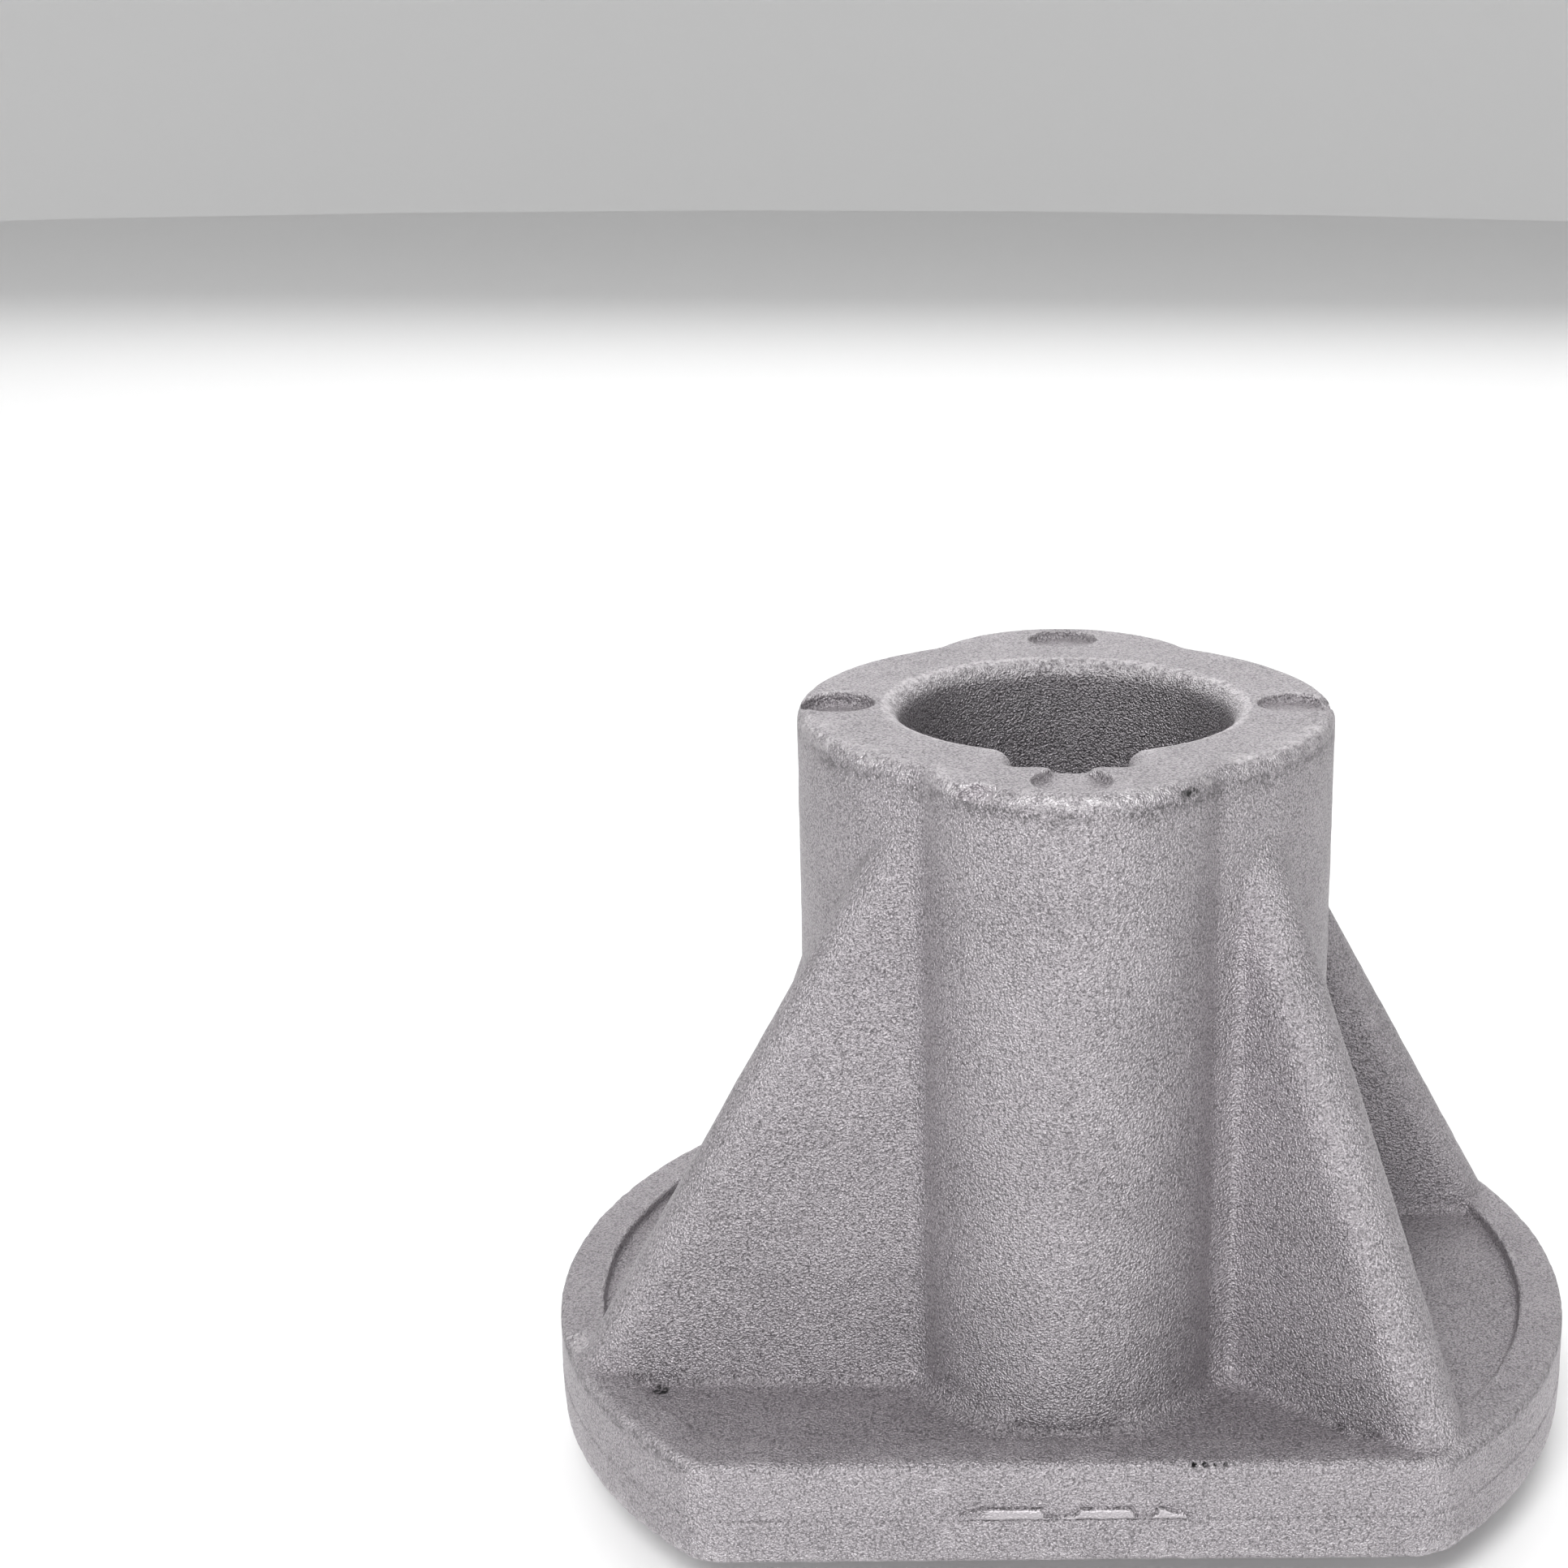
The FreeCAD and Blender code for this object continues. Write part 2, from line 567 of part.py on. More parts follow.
side, lobe_side = size("side_mark_distance"), size("lobe_mark_distance")
marks = round_outline("MarkOutlines", "Sizes.hub_height", [
    (side, 0, "Sizes.side_mark_distance", None, "mark_diameter"),
    (0, lobe_side, None, "Sizes.lobe_mark_distance", "mark_diameter"),
    (0, -lobe_side, None, "Sizes.lobe_mark_distance", "mark_diameter"),
])
feature("Pocket", "EjectorMarks", marks, grows=False, Length="Sizes.mark_depth")
left_mark = round_outline("LeftMarkOutline", "Sizes.hub_height", [
    (-side, 0, "Sizes.side_mark_distance", None, "mark_diameter"),
])
feature("Pocket", "LeftMark", left_mark, grows=False, Length="Sizes.left_mark_depth")


def rectangle(name, plane, lift, across, along):
    """Rectangle between two distances along the sketch's upright axis, centred on it."""
    sketch = new_sketch(name, plane, lift=lift)
    half = across[0] / 2
    near, far = along[0][0], along[1][0]
    corners = [(-half, near), (half, near), (half, far), (-half, far)]
    sketch.addGeometry([line(corners[n], corners[(n + 1) % 4]) for n in range(4)], False)
    bottom, right, top, left = range(4)
    for index in range(4):
        constrain(sketch, "Coincident", index, LAST, (index + 1) % 4, FIRST)
    for level in (bottom, top):
        constrain(sketch, "Horizontal", level)
    for upright in (left, right):
        constrain(sketch, "Vertical", upright)
    constrain(sketch, "DistanceX", *ORIGIN, right, FIRST, value=half, expression=f"({across[1]}) / 2")
    constrain(sketch, "DistanceX", bottom, FIRST, bottom, LAST, value=2 * half, expression=across[1])
    for edge, (place, text) in ((bottom, along[0]), (top, along[1])):
        if place > 0:
            constrain(sketch, "DistanceY", *ORIGIN, edge, FIRST, value=place, expression=text)
        else:
            constrain(sketch, "DistanceY", edge, FIRST, *ORIGIN, value=-place, expression=text)
    return sketch


# The thin wall between the front mark and the keyway has broken out down to the mark's bottom
keyway_middle = size("bore_diameter") / 2 + size("keyway_depth") / 2
break_outline = rectangle(
    "MarkBreakOutline", "XY_Plane", "Sizes.hub_height",
    (size("mark_break_width"), "Sizes.mark_break_width"),
    (
        (-lobe_side, "Sizes.lobe_mark_distance"),
        (-keyway_middle, "Sizes.bore_diameter / 2 + Sizes.keyway_depth / 2"),
    ),
)
feature("Pocket", "MarkBreak", break_outline, grows=False, Length="Sizes.mark_depth")

# Underside
relief = round_outline("ReliefOutline", None, [
    (0, 0, None, None, "relief_diameter"),
    (0, 0, None, None, "boss_diameter"),
])
feature("Pocket", "Relief", relief, grows=False, Reversed=True, Length="Sizes.relief_depth")
boss = round_outline("BossOutline", None, [(0, 0, None, None, "boss_diameter")])
feature("Pad", "PilotBoss", boss, grows=True, Reversed=True, Length="Sizes.boss_height")
fillet("BossEdge", "boss_edge_radius", lambda edge: is_level_at(edge, -size("boss_height")))
bolt = round_outline("BoltHoleOutline", "-Sizes.boss_height", [(0, 0, None, None, "bolt_hole_diameter")])
feature(
    "Pocket", "BoltHole", bolt, grows=False,
    Reversed=True,
    Length="Sizes.boss_height + Sizes.bore_floor_height",
)
half_spacing = size("pin_spacing") / 2
pins = round_outline("PinOutlines", None, [
    (half_spacing, 0, "Sizes.pin_spacing / 2", None, "pin_diameter"),
    (-half_spacing, 0, "Sizes.pin_spacing / 2", None, "pin_diameter"),
])
feature("Pad", "DrivePins", pins, grows=True, Reversed=True, Length="Sizes.pin_length")
fillet("PinEdges", "pin_edge_radius", lambda edge: is_level_at(edge, -size("pin_length")))
bolt_hole_radius = size("bolt_hole_diameter") / 2
fillet(
    "BoltHoleEdge", "bolt_hole_edge_radius",
    lambda edge: is_level_at(edge, -size("boss_height")) and from_axis(edge) < bolt_hole_radius + NEAR,
)


# Witness of the gate: a low bar on the front flat that stands on the parting line
parting = size("parting_height")
gate = rectangle(
    "GateOutline", "XZ_Plane", f"{HALF_PLATE} - Sizes.plate_edge_overlap",
    (size("gate_length"), "Sizes.gate_length"),
    (
        (parting, "Sizes.parting_height"),
        (parting + size("gate_height"), "Sizes.parting_height + Sizes.gate_height"),
    ),
)
feature("Pad", "GateWitness", gate, grows=True, Length="Sizes.gate_depth + Sizes.plate_edge_overlap")

# Checks before anything is written
for item in doc.Objects:
    if "Invalid" in item.State or "Error" in item.State:
        raise RuntimeError(f"{item.Name}: {item.State}")
if body.Shape.isNull() or not body.Shape.isValid() or len(body.Shape.Solids) != 1:
    raise RuntimeError("the casting is not one valid solid")
os.makedirs("parts", exist_ok=True)
body.Shape.exportStep("parts/hub_casting.step")
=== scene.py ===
import math

import bmesh
import bpy
import numpy as np
from mathutils import Matrix, Vector


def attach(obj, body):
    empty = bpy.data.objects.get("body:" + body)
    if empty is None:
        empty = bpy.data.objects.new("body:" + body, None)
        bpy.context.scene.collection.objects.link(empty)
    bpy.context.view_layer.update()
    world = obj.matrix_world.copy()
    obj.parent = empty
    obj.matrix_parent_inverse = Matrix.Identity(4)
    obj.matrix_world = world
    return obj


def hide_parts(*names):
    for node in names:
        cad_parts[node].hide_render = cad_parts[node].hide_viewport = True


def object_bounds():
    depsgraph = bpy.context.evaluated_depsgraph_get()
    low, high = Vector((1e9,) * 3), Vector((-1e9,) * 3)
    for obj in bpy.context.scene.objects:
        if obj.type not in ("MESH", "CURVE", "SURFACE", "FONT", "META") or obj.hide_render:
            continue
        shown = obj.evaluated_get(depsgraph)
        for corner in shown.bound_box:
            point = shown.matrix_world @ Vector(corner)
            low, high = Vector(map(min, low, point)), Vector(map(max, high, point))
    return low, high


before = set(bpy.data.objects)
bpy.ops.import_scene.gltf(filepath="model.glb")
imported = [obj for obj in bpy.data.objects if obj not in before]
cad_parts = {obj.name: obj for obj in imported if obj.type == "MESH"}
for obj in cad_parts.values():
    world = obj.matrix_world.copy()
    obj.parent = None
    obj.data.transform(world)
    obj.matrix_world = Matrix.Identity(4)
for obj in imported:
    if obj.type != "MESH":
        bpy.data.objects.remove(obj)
cad_box = [list(corner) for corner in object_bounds()]
scene = bpy.context.scene

MM = 0.001
IMAGE_PX = 1932.0
SENSOR_WIDTH = 36.0


# Camera, at the photograph's viewing angle
def look(name, right, down, ahead, place, focal, middle):
    """A camera from its three directions, its place in mm, its focal length and its middle in pixels."""
    data = bpy.data.cameras.new(name)
    data.sensor_width = SENSOR_WIDTH
    data.lens = focal / IMAGE_PX * SENSOR_WIDTH
    data.shift_x = (IMAGE_PX / 2 - middle[0]) / IMAGE_PX
    data.shift_y = (middle[1] - IMAGE_PX / 2) / IMAGE_PX
    data.clip_start = 0.01
    data.clip_end = 10.0
    camera = bpy.data.objects.new(name, data)
    scene.collection.objects.link(camera)
    axes = Matrix((Vector(right), -Vector(down), -Vector(ahead))).transposed()
    camera.matrix_world = Matrix.Translation(Vector(place) * MM) @ axes.to_4x4()
    scene.camera = camera


look(
    "view",
    right=(0.99948, -0.03047, 0.01037),
    down=(-0.00100, -0.35135, -0.93624),
    ahead=(0.03217, 0.93575, -0.35120),
    place=(-3.646, -185.298, 104.807),
    focal=3156.6,
    middle=(1355.8, 1169.9),
)


# Studio light: soft lights low and high in front, one overhead and one behind, in a dark room
AIM = (0.0, 0.0, 0.025)
ROOM_LIGHT = 0.02


def area_light(name, place, width, height, power):
    """A soft rectangular light that faces the casting. Lengths in metres, power in watts."""
    data = bpy.data.lights.new(name, "AREA")
    data.shape = "RECTANGLE"
    data.size, data.size_y = width, height
    data.energy = power
    lamp = bpy.data.objects.new(name, data)
    scene.collection.objects.link(lamp)
    lamp.location = place
    lamp.rotation_euler = (Vector(AIM) - Vector(place)).to_track_quat("-Z", "Y").to_euler()


area_light("low_front_light", (0.0, -0.60, 0.04), 0.40, 0.10, 2.0)
area_light("high_front_light", (-0.10, -0.45, 0.50), 0.25, 0.25, 3.3)
area_light("top_light", (0.0, 0.14, 0.80), 1.70, 0.55, 4.7)
area_light("rear_light", (0.0, 0.60, 0.36), 0.90, 0.40, 1.8)

world = bpy.data.worlds.new("room")
scene.world = world
world.use_nodes = True
world.node_tree.nodes["Background"].inputs["Color"].default_value = (1, 1, 1, 1)
world.node_tree.nodes["Background"].inputs["Strength"].default_value = ROOM_LIGHT
scene.view_settings.view_transform = "Standard"


# Noise and smoothing on all points of a mesh at once
def ripple(points, cell, seed):
    """Smooth noise of about -1 to 1 at each point, on a lattice with the given cell."""
    place = points / cell + 0.37 * seed
    base = np.floor(place).astype(np.int64)
    part = place - base
    ease = part**3 * (part * (part * 6 - 15) + 10)
    total = np.zeros(len(points))
    for corner in range(8):
        step = np.array([corner & 1, corner >> 1 & 1, corner >> 2 & 1])
        key = base + step
        mixed = key[:, 0] * 73856093 ^ key[:, 1] * 19349663 ^ key[:, 2] * 83492791 ^ seed * 7919
        mixed = (mixed ^ mixed >> 13) * 1274126177 & 0xFFFFFFFF
        mixed = (mixed ^ mixed >> 16) * 2246822519 & 0xFFFFFFFF
        weight = np.prod(np.where(step == 1, ease, 1 - ease), axis=1)
        away = part - step
        for axis in range(3):
            slope = (mixed >> 10 * axis & 1023) / 511.5 - 1
            total += weight * slope * away[:, axis]
    return 1.6 * total


def smoothstep(low, high, value):
    """0 at low, 1 at high and a smooth change between them. Low may be the larger one."""
    part = np.clip((value - low) / (high - low), 0, 1)
    return part * part * (3 - 2 * part)


def points_of(mesh, what="co"):
    """Places or normals of a mesh's vertices as an array."""
    flat = np.empty(3 * len(mesh.vertices))
    mesh.vertices.foreach_get(what, flat)
    return flat.reshape(-1, 3)


def move_points(mesh, points):
    """Gives a mesh's vertices new places."""
    mesh.vertices.foreach_set("co", points.ravel())
    mesh.update()


def edges_of(mesh):
    """The two vertices of each edge as an array."""
    flat = np.empty(2 * len(mesh.edges), dtype=np.int32)
    mesh.edges.foreach_get("vertices", flat)
    return flat.reshape(-1, 2)


def averaged(values, edges, rounds):
    """Each vertex's value moved halfway to the mean of its neighbours, so many rounds over."""
    first, last = edges[:, 0], edges[:, 1]
    count = len(values)
    links = np.bincount(first, minlength=count) + np.bincount(last, minlength=count)
    for _ in range(rounds):
        total = np.empty_like(values)
        for axis in range(values.shape[1]):
            column = values[:, axis]
            total[:, axis] = np.bincount(first, column[last], count) + np.bincount(last, column[first], count)
        values = 0.5 * values + 0.5 * total / links[:, None]
    return values


def standing_out(mesh, points, rounds):
    """How far each point stands out from the mean of its surroundings, in millimetres."""
    smoothed = averaged(points, edges_of(mesh), rounds)
    return np.einsum("ij,ij->i", points_of(mesh, "normal"), points - smoothed) / MM


def applied(piece, kind, **settings):
    """Gives a piece the mesh that a modifier makes of it."""
    modifier = piece.modifiers.new(kind.lower(), kind)
    for name, value in settings.items():
        setattr(modifier, name, value)
    graph = bpy.context.evaluated_depsgraph_get()
    mesh = bpy.data.meshes.new_from_object(piece.evaluated_get(graph))
    piece.modifiers.clear()
    piece.data = mesh
    return mesh


# Fineness of the casting's mesh: first voxel, triangles before refining, shortest edge at a detail and
# the growth of the edges away from it. Lengths from here to the material are in millimetres
VOXEL = 0.25
TRIANGLES = 125000
DETAIL_EDGE = 0.17
EDGE_GROWTH = 0.8
REFINE_ROUNDS = 5

# Levels and places that the small marks follow
PARTING_Z = 3.6
PLATE_EDGE_Z = 7.35
HUB_EDGE_Z = 53.6
END_FACE_Z = 54.55
SIDE_REACH = 38.6
SIDE_Y = 29.75
FLAT_Y = -30.15
ON_FLAT_Y = -29.9
PLATE_DRAFT = math.tan(math.radians(1.0))

# The seam at the parting line, the step below it and the lips of the ejector pin marks
SEAM_WIDTH, SEAM_DEPTH, SEAM_STEP = 0.09, 0.08, 0.035
LIP_PLACE, LIP_WIDTH, LIP_HEIGHT = 0.08, 0.11, 0.09
MARK_RADIUS = 2.75
MARKS = ((-17.0, 0.0), (17.0, 0.0), (0.0, 20.0), (0.0, -20.0))

# The gate's witness on the front flat: its window, its height, its cracks and its outline in X and Z
GATE_X, GATE_LOW_Z, GATE_HIGH_Z = 9.3, 3.0, 5.2
GATE_HEIGHT, CRACK_WIDTH = 0.16, 0.075
GATE = np.array([
    (-8.10, 3.60), (-7.90, 3.95), (-7.30, 4.28), (-6.50, 4.48), (-5.60, 4.54), (-2.00, 4.53), (-1.85, 4.20),
    (-1.75, 3.85), (-0.90, 3.80), (0.20, 3.90), (0.55, 4.15), (0.70, 4.50), (4.30, 4.50), (4.55, 4.10),
    (4.75, 3.80), (5.60, 3.75), (6.10, 4.10), (6.15, 4.55), (6.90, 4.40), (7.40, 4.20), (8.00, 4.12),
    (8.40, 3.85), (8.55, 3.60),
])

# Chips and pits. Each is a centre, its three half sizes, the way that it pushes the skin in, how dark
# it is painted and how much lighter it is painted, as the chips' bare metal with a painted highlight
SCOOPS = (
    ((-7.2, -22.1, 54.8), (2.3, 1.4, 1.1), (0.05, 0.75, -0.70), 0.0, 0.9),
    ((19.8, 0.6, 54.9), (0.9, 1.4, 0.8), (-0.25, 0.0, -0.25), 0.0, 0.3),
    ((8.9, -20.7, 54.2), (2.4, 1.2, 0.5), (0.0, 0.15, 0.0), 1.0, 0.0),
    ((8.7, -30.1, 7.9), (0.28, 0.40, 0.30), (0.0, 0.30, -0.10), 2.0, 0.0),
    ((9.5, -30.1, 7.9), (0.35, 0.40, 0.30), (0.0, 0.35, -0.10), 2.0, 0.0),
    ((10.2, -30.1, 7.9), (0.25, 0.40, 0.25), (0.0, 0.30, -0.10), 2.0, 0.0),
    ((10.9, -30.1, 7.9), (0.22, 0.40, 0.25), (0.0, 0.25, -0.10), 2.0, 0.0),
    ((-30.2, -17.9, 7.3), (0.8, 0.8, 0.6), (0.0, 0.25, -0.10), 1.6, 0.0),
    ((19.4, -24.1, 7.3), (0.8, 0.6, 0.4), (0.0, 0.10, 0.0), 1.0, 0.0),
    ((-3.3, -24.3, 12.4), (0.5, 0.6, 1.4), (0.0, 0.15, 0.0), 0.2, 0.0),
    ((27.0, -27.0, 19.0), (1.0, 1.0, 1.4), (-0.12, 0.12, 0.0), 0.0, 0.0),
    ((-37.4, -12.5, 8.0), (1.4, 1.6, 0.7), (0.20, 0.0, -0.15), 0.0, 0.5),
)
# Rubbed spots on the front flat: centre and half sizes in X and Z, and how bare they are
RUBBED = (
    ((-9.4, 6.1), (0.45, 0.40), 0.7),
    ((-8.7, 2.0), (0.30, 1.60), 0.6),
)


def gate_distance(place):
    """Distance of each point to the outline of the gate's witness, and whether it lies inside it."""
    near = np.full(len(place), np.inf)
    inside = np.zeros(len(place), dtype=bool)
    for first, last in zip(GATE, np.roll(GATE, -1, axis=0)):
        run = last - first
        share = np.clip((place - first) @ run / (run @ run), 0, 1)
        near = np.minimum(near, np.linalg.norm(place - first - share[:, None] * run, axis=1))
        crosses = (first[1] > place[:, 1]) != (last[1] > place[:, 1])
        if first[1] != last[1]:
            at_x = first[0] + (place[:, 1] - first[1]) / (last[1] - first[1]) * run[0]
            inside ^= crosses & (place[:, 0] < at_x)
    return near, inside


def is_side(place):
    """Whether points are as far out as the plate's side walls."""
    return (np.hypot(place[:, 0], place[:, 1]) > SIDE_REACH) | (np.abs(place[:, 1]) > SIDE_Y)


def to_detail(place):
    """Distance of each point to the nearest detail that needs a finer mesh."""
    x, y, z = place.T
    low = (z > -0.5) & (z < 8.5)
    to_line = np.minimum(np.abs(z - PARTING_Z), np.abs(z - 7.5) + 0.15)
    near = np.where(low & is_side(place), to_line, 9.0)
    to_gate = np.maximum(np.abs(x) - 9.5, np.abs(z - 4.1) - 0.7)
    near = np.where(low & (y < -29.5), np.minimum(near, np.maximum(to_gate, 0)), near)
    for mark in MARKS:
        ring = np.abs(np.hypot(x - mark[0], y - mark[1]) - MARK_RADIUS)
        near = np.where(z > 53.0, np.minimum(near, np.maximum(ring - 0.2, 0)), near)
    for centre, half, *_ in SCOOPS:
        away = np.linalg.norm((place - centre) / half, axis=1)
        near = np.minimum(near, np.maximum(away - 1, 0) * min(half) + 0.08 * min(half))
    return near


def refined(piece):
    """Splits edges near the details until they are short there."""
    built = bmesh.new()
    built.from_mesh(piece.data)
    for _ in range(REFINE_ROUNDS):
        built.edges.ensure_lookup_table()
        ends = np.array([edge.verts[0].co[:] + edge.verts[1].co[:] for edge in built.edges]) / MM
        length = np.linalg.norm(ends[:, :3] - ends[:, 3:], axis=1)
        near = to_detail((ends[:, :3] + ends[:, 3:]) / 2)
        too_long = np.flatnonzero(length > DETAIL_EDGE + EDGE_GROWTH * near)
        if not len(too_long):
            break
        bmesh.ops.subdivide_edges(built, edges=[built.edges[index] for index in too_long], cuts=1)
        bmesh.ops.triangulate(built, faces=[face for face in built.faces if len(face.verts) > 3])
    built.to_mesh(piece.data)
    built.free()
    return piece.data


def front_rim(place, low, high, reach, front):
    """Share of the hub's rim in each point, on the front side. Each pair gives where it starts and is full."""
    x, y, z = place.T
    return smoothstep(low, high, z) * smoothstep(*reach, np.hypot(x, y)) * smoothstep(*front, y)


def rough_skin(piece):
    """Lays a fine even mesh over the piece, with an uneven skin and nibbled edges."""
    mesh = applied(piece, "REMESH", mode="VOXEL", voxel_size=VOXEL * MM)
    points = averaged(points_of(mesh), edges_of(mesh), 2)
    move_points(mesh, points)
    place = points / MM
    x, y, z = place.T

    in_bore = smoothstep(13.6, 13.0, np.hypot(x, y)) * smoothstep(5.0, 7.0, z)
    on_top = smoothstep(54.6, 54.9, z)
    skin = 0.030 * ripple(place, 3.6, 1) + 0.022 * ripple(place, 1.5, 2) + 0.012 * ripple(place, 0.8, 3)
    skin = skin * (1 - 0.6 * in_bore) * (1 - 0.7 * on_top)

    sharp = smoothstep(0.02, 0.12, standing_out(mesh, points, 10))
    bite = np.clip(ripple(place, 1.1, 4) + 0.4 * ripple(place, 3.0, 5), 0, 1)
    rim = front_rim(place, 53.6, 54.4, (19.0, 19.6), (2.0, -6.0))
    nibble = sharp * (0.03 + (0.12 + 0.08 * rim) * bite)
    points += points_of(mesh, "normal") * ((skin - nibble) * MM)[:, None]
    move_points(mesh, points)

    applied(piece, "DECIMATE", ratio=TRIANGLES / (2 * len(mesh.polygons)))
    return refined(piece)


def scoop_out(points, place):
    """Pushes the scoops into the points and gives how much darker and lighter they paint each of them. The
    lightening is the chips' bare metal, partly a painted highlight.
    """
    scoop_dark, shine = np.zeros(len(place)), np.zeros(len(place))
    for number, (centre, half, shove, black, gloss) in enumerate(SCOOPS):
        away = np.linalg.norm((place - centre) / half, axis=1)
        away = away + 0.20 * ripple(place, 0.8 * min(half), 20 + number)
        share = smoothstep(1.0, 0.65, away)
        points += share[:, None] * np.array(shove) * MM
        scoop_dark = np.maximum(scoop_dark, black * share)
        shine = np.maximum(shine, gloss * smoothstep(1.1, 0.8, away))
    return scoop_dark, shine


def mark_lips(place):
    """Share of the broken lip round the rear of each ejector pin mark."""
    lips = np.zeros(len(place))
    for number, mark in enumerate(MARKS):
        offset = place[:, :2] - mark
        ring = np.hypot(offset[:, 0], offset[:, 1]) - MARK_RADIUS
        lip = np.exp(-(((ring - LIP_PLACE) / LIP_WIDTH) ** 2))
        lip = lip * smoothstep(-0.2, 0.6, offset[:, 1] / MARK_RADIUS)
        lip *= np.clip(0.55 + 0.5 * ripple(place, 0.7, 40 + number), 0, 1)
        lips = np.maximum(lips, np.where((place[:, 2] > END_FACE_Z) & (ring > -0.1), lip, 0))
    return lips


def seam_and_step(place):
    """Share of the seam on the plate's side walls, and the small step out below it."""
    z = place[:, 2]
    side = is_side(place) & (z > 0.6) & (z < 7.4)
    seam = np.exp(-(((z - PARTING_Z) / SEAM_WIDTH) ** 2)) * np.clip(0.7 + 0.5 * ripple(place, 2.3, 50), 0.1, 1)
    step = SEAM_STEP * smoothstep(PARTING_Z + 0.05, PARTING_Z - 0.05, z)
    return np.where(side, seam, 0), np.where(side, step, 0)


def gate_witness(points, place):
    """Shapes the gate's witness and gives the share of its smooth cut face and of its cracks."""
    x, y, z = place.T
    wander = np.column_stack([0.07 * ripple(place, 0.6, 70), 0.05 * ripple(place, 0.6, 71)])
    near, inside = gate_distance(place[:, [0, 2]] + wander)
    signed = np.where(inside, near, -near)
    cut = smoothstep(0.05, 0.14, signed) * smoothstep(-6.2, -5.6, x)
    crack = np.exp(-((near / CRACK_WIDTH) ** 2))
    height = GATE_HEIGHT * smoothstep(-0.02, 0.08, signed) - GATE_HEIGHT * crack
    height += (0.02 * ripple(place, 1.2, 2) + 0.03 * ripple(place, 0.45, 6)) * (1 - cut)
    wall = FLAT_Y + np.abs(z - PARTING_Z) * PLATE_DRAFT - height

    window = (y < ON_FLAT_Y) & (np.abs(x) < GATE_X) & (z > GATE_LOW_Z) & (z < GATE_HIGH_Z)
    blend = smoothstep(0.0, 0.25, GATE_X - np.abs(x)) * smoothstep(0.0, 0.3, z - GATE_LOW_Z)
    blend *= smoothstep(0.0, 0.3, GATE_HIGH_Z - z) * window
    points[:, 1] += blend * (wall * MM - points[:, 1])
    crack = crack * np.clip(0.45 + 0.45 * ripple(place, 1.1, 72), 0.1, 0.9)
    return cut * blend, blend * crack


def rubbed(place):
    """How bare each point is by the rubbed spots on the front flat."""
    x, y, z = place.T
    bare = np.zeros(len(place))
    for centre, half, amount in RUBBED:
        away = np.hypot((x - centre[0]) / half[0], (z - centre[1]) / half[1])
        bare = np.maximum(bare, amount * smoothstep(1.1, 0.7, away) * (y < ON_FLAT_Y))
    return bare


def shadowed_edges(place):
    """Painted shade: dark bands just below the plate's round edges and below the front of the hub's rim."""
    x, y, z = place.T
    plate = smoothstep(0.45, 0.15, np.abs(z - PLATE_EDGE_Z)) * is_side(place) * (np.abs(y) < 29.5)
    hub = smoothstep(0.6, 0.2, np.abs(z - HUB_EDGE_Z)) * (np.hypot(x, y) > 19.3) * smoothstep(4.0, -2.0, y)
    return 0.5 * np.maximum(plate, hub)


def worn_and_highlit_edges(place, bulge):
    """How bright each point is painted on the edges, partly as wear and partly as a painted highlight: round
    edges, above all the front of the hub's rim, and the bore's mouth, whose bright bands are painted
    highlights.
    """
    x, y, z = place.T
    worn_and_highlight = 0.5 * smoothstep(0.02, 0.10, bulge)
    rim = front_rim(place, 53.9, 54.3, (18.2, 19.2), (6.0, -6.0))
    mouth = smoothstep(53.3, 54.2, z) * smoothstep(14.4, 13.8, np.hypot(x, y)) * (z < 54.97)
    return np.maximum(worn_and_highlight, np.maximum(0.9 * rim * smoothstep(0.02, 0.08, bulge), 0.7 * mouth))


# The casting: an even mesh with the unevenness of its skin, worn edges and the small marks
casting = bpy.data.objects.new("casting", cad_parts["hub_casting"].data.copy())
scene.collection.objects.link(casting)
mesh = rough_skin(casting)

points = points_of(mesh)
place = points / MM
scoop_dark, shine = scoop_out(points, place)
lips = mark_lips(place)
seam, step = seam_and_step(place)
push = LIP_HEIGHT * lips + (step - SEAM_DEPTH * seam)
points += points_of(mesh, "normal") * (push * MM)[:, None]
cut, crack = gate_witness(points, place)
move_points(mesh, points)
for polygon in mesh.polygons:
    polygon.use_smooth = True

# What the material reads at each vertex: where the skin is bare, where it is dark from marks and painted
# shade, and where it is worn and painted with highlights
looks = {
    "bare": np.maximum(cut, rubbed(place)),
    # dark: the seam, the cracks, the darkened scoops and the painted shade below the round edges
    "dark": np.maximum.reduce([0.45 * seam, crack, scoop_dark, shadowed_edges(place)]),
    # worn_and_highlight: worn edges, lips and chips, with painted highlights on the hub's rim and the bore's
    # mouth
    "worn_and_highlight": np.maximum.reduce([worn_and_highlit_edges(place, standing_out(mesh, points, 4)), shine, 1.2 * lips]),
}
for name, values in looks.items():
    mesh.attributes.new(name, "FLOAT", "POINT").data.foreach_set("value", values)


# Colours of the skin, and the grain's textures in cells to the metre
DARK_GREY = (0.200, 0.189, 0.198, 1)
LIGHT_GREY = (0.540, 0.509, 0.533, 1)
# Lighter grey for wear and for the painted highlights on the round edges
WORN_AND_HIGHLIGHT_GREY = (0.72, 0.69, 0.71, 1)
BARE_GREY = (0.37, 0.35, 0.365, 1)
# Near black for the seam, the cracks and the darkened scoops, and for the painted shade below the round edges
MARK_AND_SHADE_BLACK = (0.03, 0.03, 0.03, 1)
PEBBLES, GRIT, CRUMBS, CLOUDS = 5000.0, 8500.0, 2300.0, 160.0
GRAIN_DEPTH = 0.17 * MM


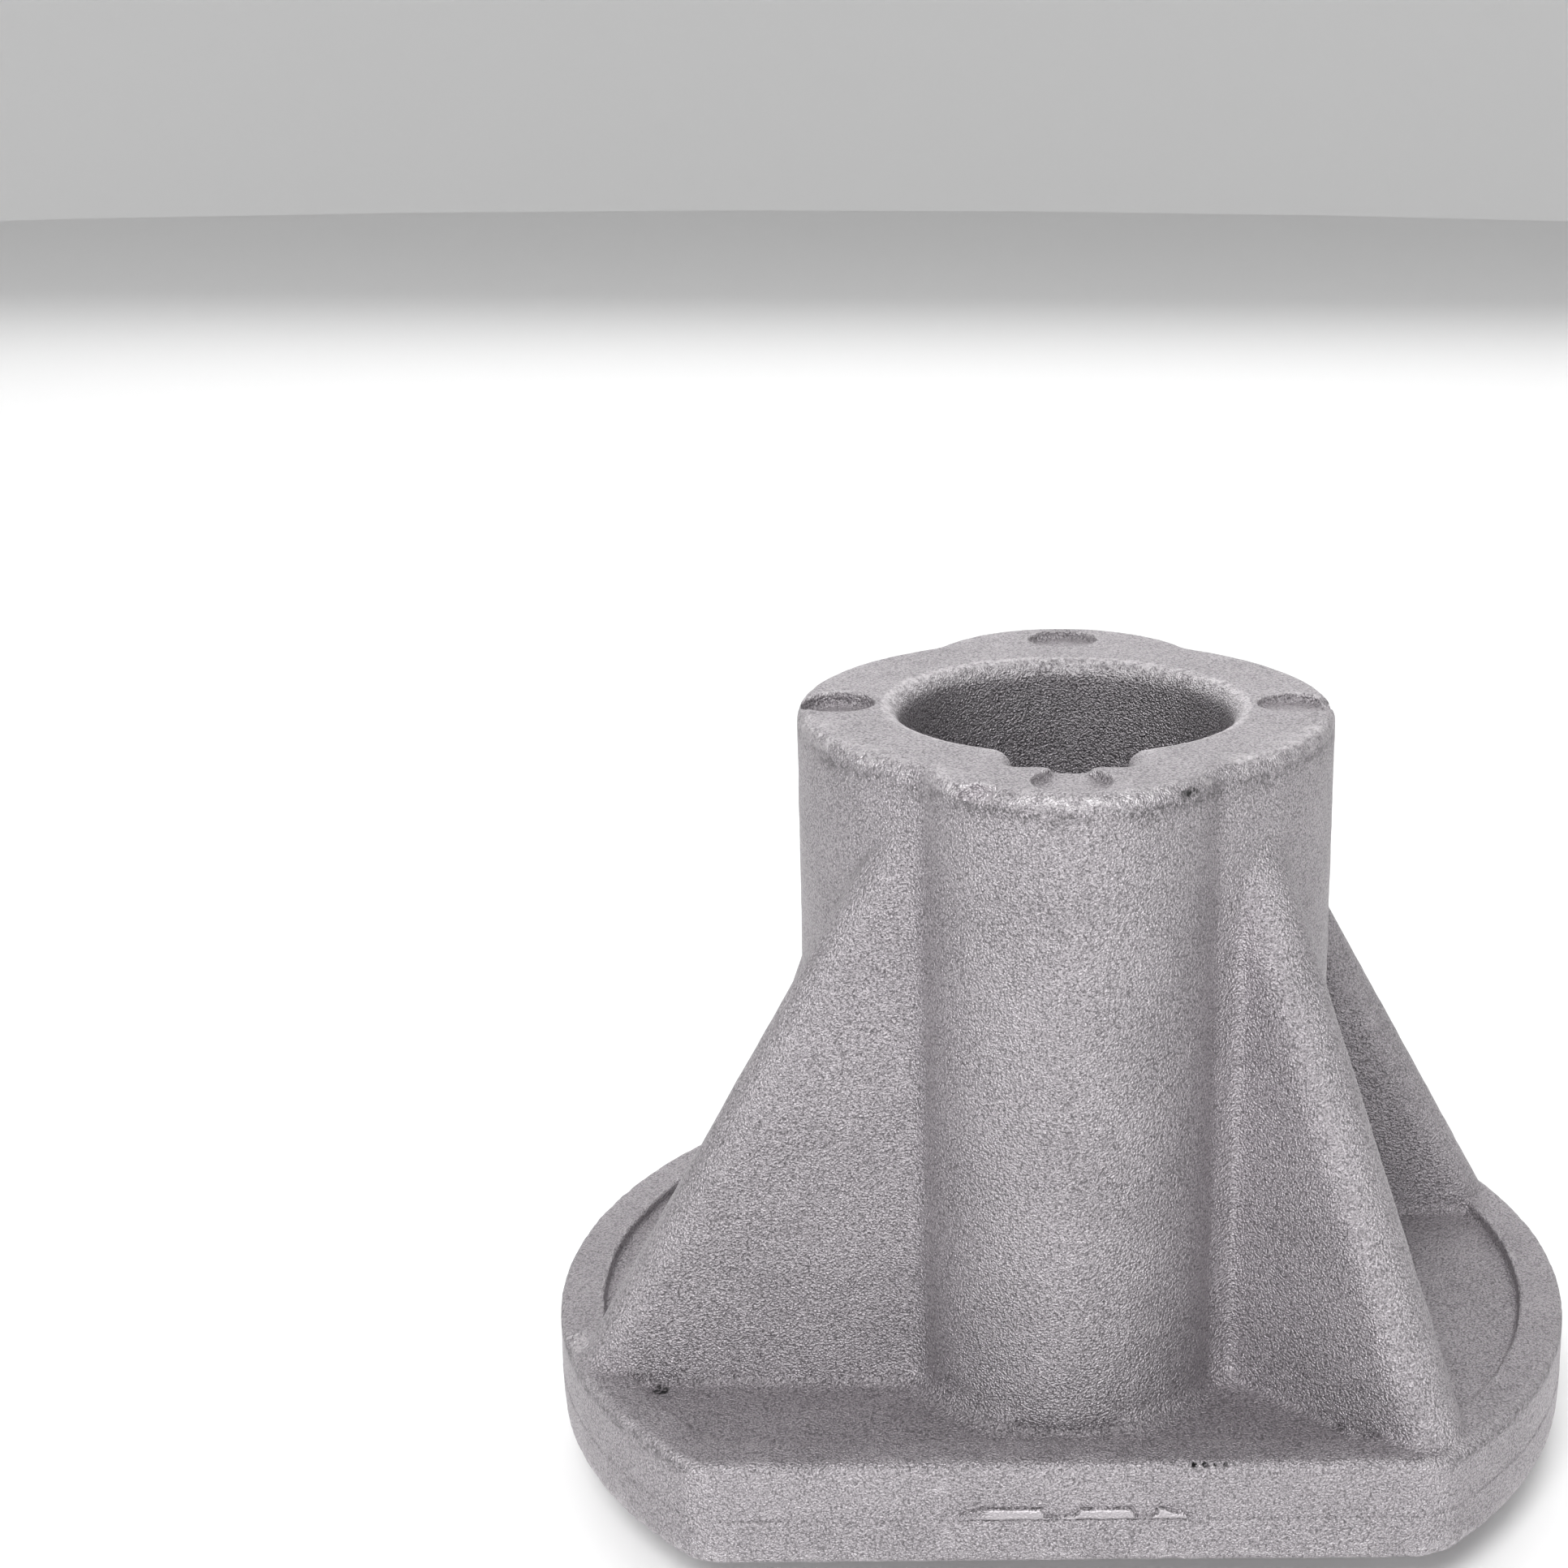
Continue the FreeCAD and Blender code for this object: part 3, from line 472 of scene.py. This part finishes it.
def cast_aluminium():
    """Blasted cast aluminium: a light grey metal, pebbled all over and smoother where it is bare."""
    made = bpy.data.materials.new("cast_aluminium")
    made.use_nodes = True
    tree = made.node_tree
    shader = tree.nodes["Principled BSDF"]
    shader.inputs["Metallic"].default_value = 1.0

    def node(kind, values=(), links=(), **settings):
        """A node with its settings, its plain values and its links from other sockets."""
        new = tree.nodes.new("ShaderNode" + kind)
        for name, value in settings.items():
            setattr(new, name, value)
        for name, value in values:
            new.inputs[name].default_value = value
        for name, source in links:
            tree.links.new(source, new.inputs[name])
        return new

    place = node("TexCoord").outputs["Object"]

    def noise(scale, detail):
        """Noise of 0 to 1 at each place."""
        return node("TexNoise", [("Scale", scale), ("Detail", detail)], [("Vector", place)]).outputs["Fac"]

    def ranged(value, **limits):
        """A value moved from one range to another."""
        values = [(name.replace("_", " ").title(), limit) for name, limit in limits.items()]
        return node("MapRange", values, [("Value", value)]).outputs["Result"]

    def times(first, second):
        """The product of two values, at most 1."""
        return node("Math", links=[(0, first), (1, second)], operation="MULTIPLY", use_clamp=True).outputs[0]

    def scaled_sum(value, factor, other):
        """A value times a factor plus another value."""
        return node("Math", [(1, factor)], [(0, value), (2, other)], operation="MULTIPLY_ADD").outputs[0]

    def over(below, colour, share):
        """A plain colour laid over another one with the given share."""
        return node("Mix", [(7, colour)], [(0, share), (6, below)], data_type="RGBA").outputs[2]

    bare = node("Attribute", attribute_name="bare").outputs["Fac"]
    dark = node("Attribute", attribute_name="dark").outputs["Fac"]
    worn_and_highlight = node("Attribute", attribute_name="worn_and_highlight").outputs["Fac"]
    pebble = node("TexVoronoi", [("Scale", PEBBLES)], [("Vector", place)]).outputs["Distance"]
    grain = scaled_sum(pebble, -0.6, noise(GRIT, 1.0))
    broken = ranged(noise(CRUMBS, 3.0), from_min=0.40, from_max=0.60, to_min=0.1, to_max=1.0)

    tone = scaled_sum(noise(CLOUDS, 5.0), 0.25, grain)
    ramp = node("ValToRGB", links=[("Fac", tone)])
    low, high = ramp.color_ramp.elements
    low.position, high.position = 0.0, 0.63
    low.color, high.color = DARK_GREY, LIGHT_GREY
    # Lighter grey over the worn edges and over the painted highlights on the rim and the bore's mouth
    colour = over(ramp.outputs["Color"], WORN_AND_HIGHLIGHT_GREY, times(worn_and_highlight, broken))
    colour = over(colour, BARE_GREY, bare)
    # Near black over the dark marks and over the painted shade below the round edges
    colour = over(colour, MARK_AND_SHADE_BLACK, times(dark, broken))
    tree.links.new(colour, shader.inputs["Base Color"])
    tree.links.new(ranged(bare, to_min=0.50, to_max=0.46), shader.inputs["Roughness"])

    strength = ranged(bare, to_min=1.0, to_max=0.25)
    bump = node("Bump", [("Distance", GRAIN_DEPTH)], [("Height", grain), ("Strength", strength)])
    tree.links.new(bump.outputs["Normal"], shader.inputs["Normal"])
    return made


mesh.materials.clear()
mesh.materials.append(cast_aluminium())
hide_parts("hub_casting")
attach(casting, "root")


# A pale round floor that curves up into a backdrop. Lengths in metres
FLOOR_REACH = 1.2
BEND = 0.5
WALL_TOP = 1.2
FLOOR_GAP = 0.05 * MM


def paper(name, glow):
    """Matt white paper with a glow of its own: painted light that lifts the shade on it."""
    made = bpy.data.materials.new(name)
    made.use_nodes = True
    shader = made.node_tree.nodes["Principled BSDF"]
    shader.inputs["Base Color"].default_value = (0.92, 0.92, 0.92, 1)
    shader.inputs["Roughness"].default_value = 0.8
    shader.inputs["Emission Color"].default_value = (1, 1, 1, 1)
    shader.inputs["Emission Strength"].default_value = glow
    return made


def backdrop():
    """The floor and the backdrop round it in one sheet, from their profile turned about the axis."""
    level = cad_box[0][2] - FLOOR_GAP
    profile = [(0.0, 0.0), (FLOOR_REACH, 0.0)]
    for turn in np.radians(range(10, 91, 10)):
        profile.append((FLOOR_REACH + BEND * math.sin(turn), BEND - BEND * math.cos(turn)))
    profile.append((FLOOR_REACH + BEND, WALL_TOP))
    made = bpy.data.meshes.new("backdrop")
    built = bmesh.new()
    line = [built.verts.new((reach, 0, level + height)) for reach, height in profile]
    for first, last in zip(line, line[1:]):
        built.edges.new((first, last))
    bmesh.ops.spin(
        built, geom=built.verts[:] + built.edges[:], cent=(0, 0, 0), axis=(0, 0, 1),
        angle=2 * math.pi, steps=48, use_merge=True,
    )
    bmesh.ops.remove_doubles(built, verts=built.verts, dist=1e-6)
    bmesh.ops.recalc_face_normals(built, faces=built.faces)
    for face in built.faces:
        face.smooth = True
        face.material_index = int(face.calc_center_median().xy.length > FLOOR_REACH)
    built.to_mesh(made)
    built.free()
    # The floor and the wall glow a little: painted light that lifts the shadow on the floor and brightens the
    # backdrop
    made.materials.append(paper("floor_paper", 0.06))
    made.materials.append(paper("wall_paper", 0.15))
    placed = bpy.data.objects.new("backdrop", made)
    scene.collection.objects.link(placed)
    return placed


backdrop()
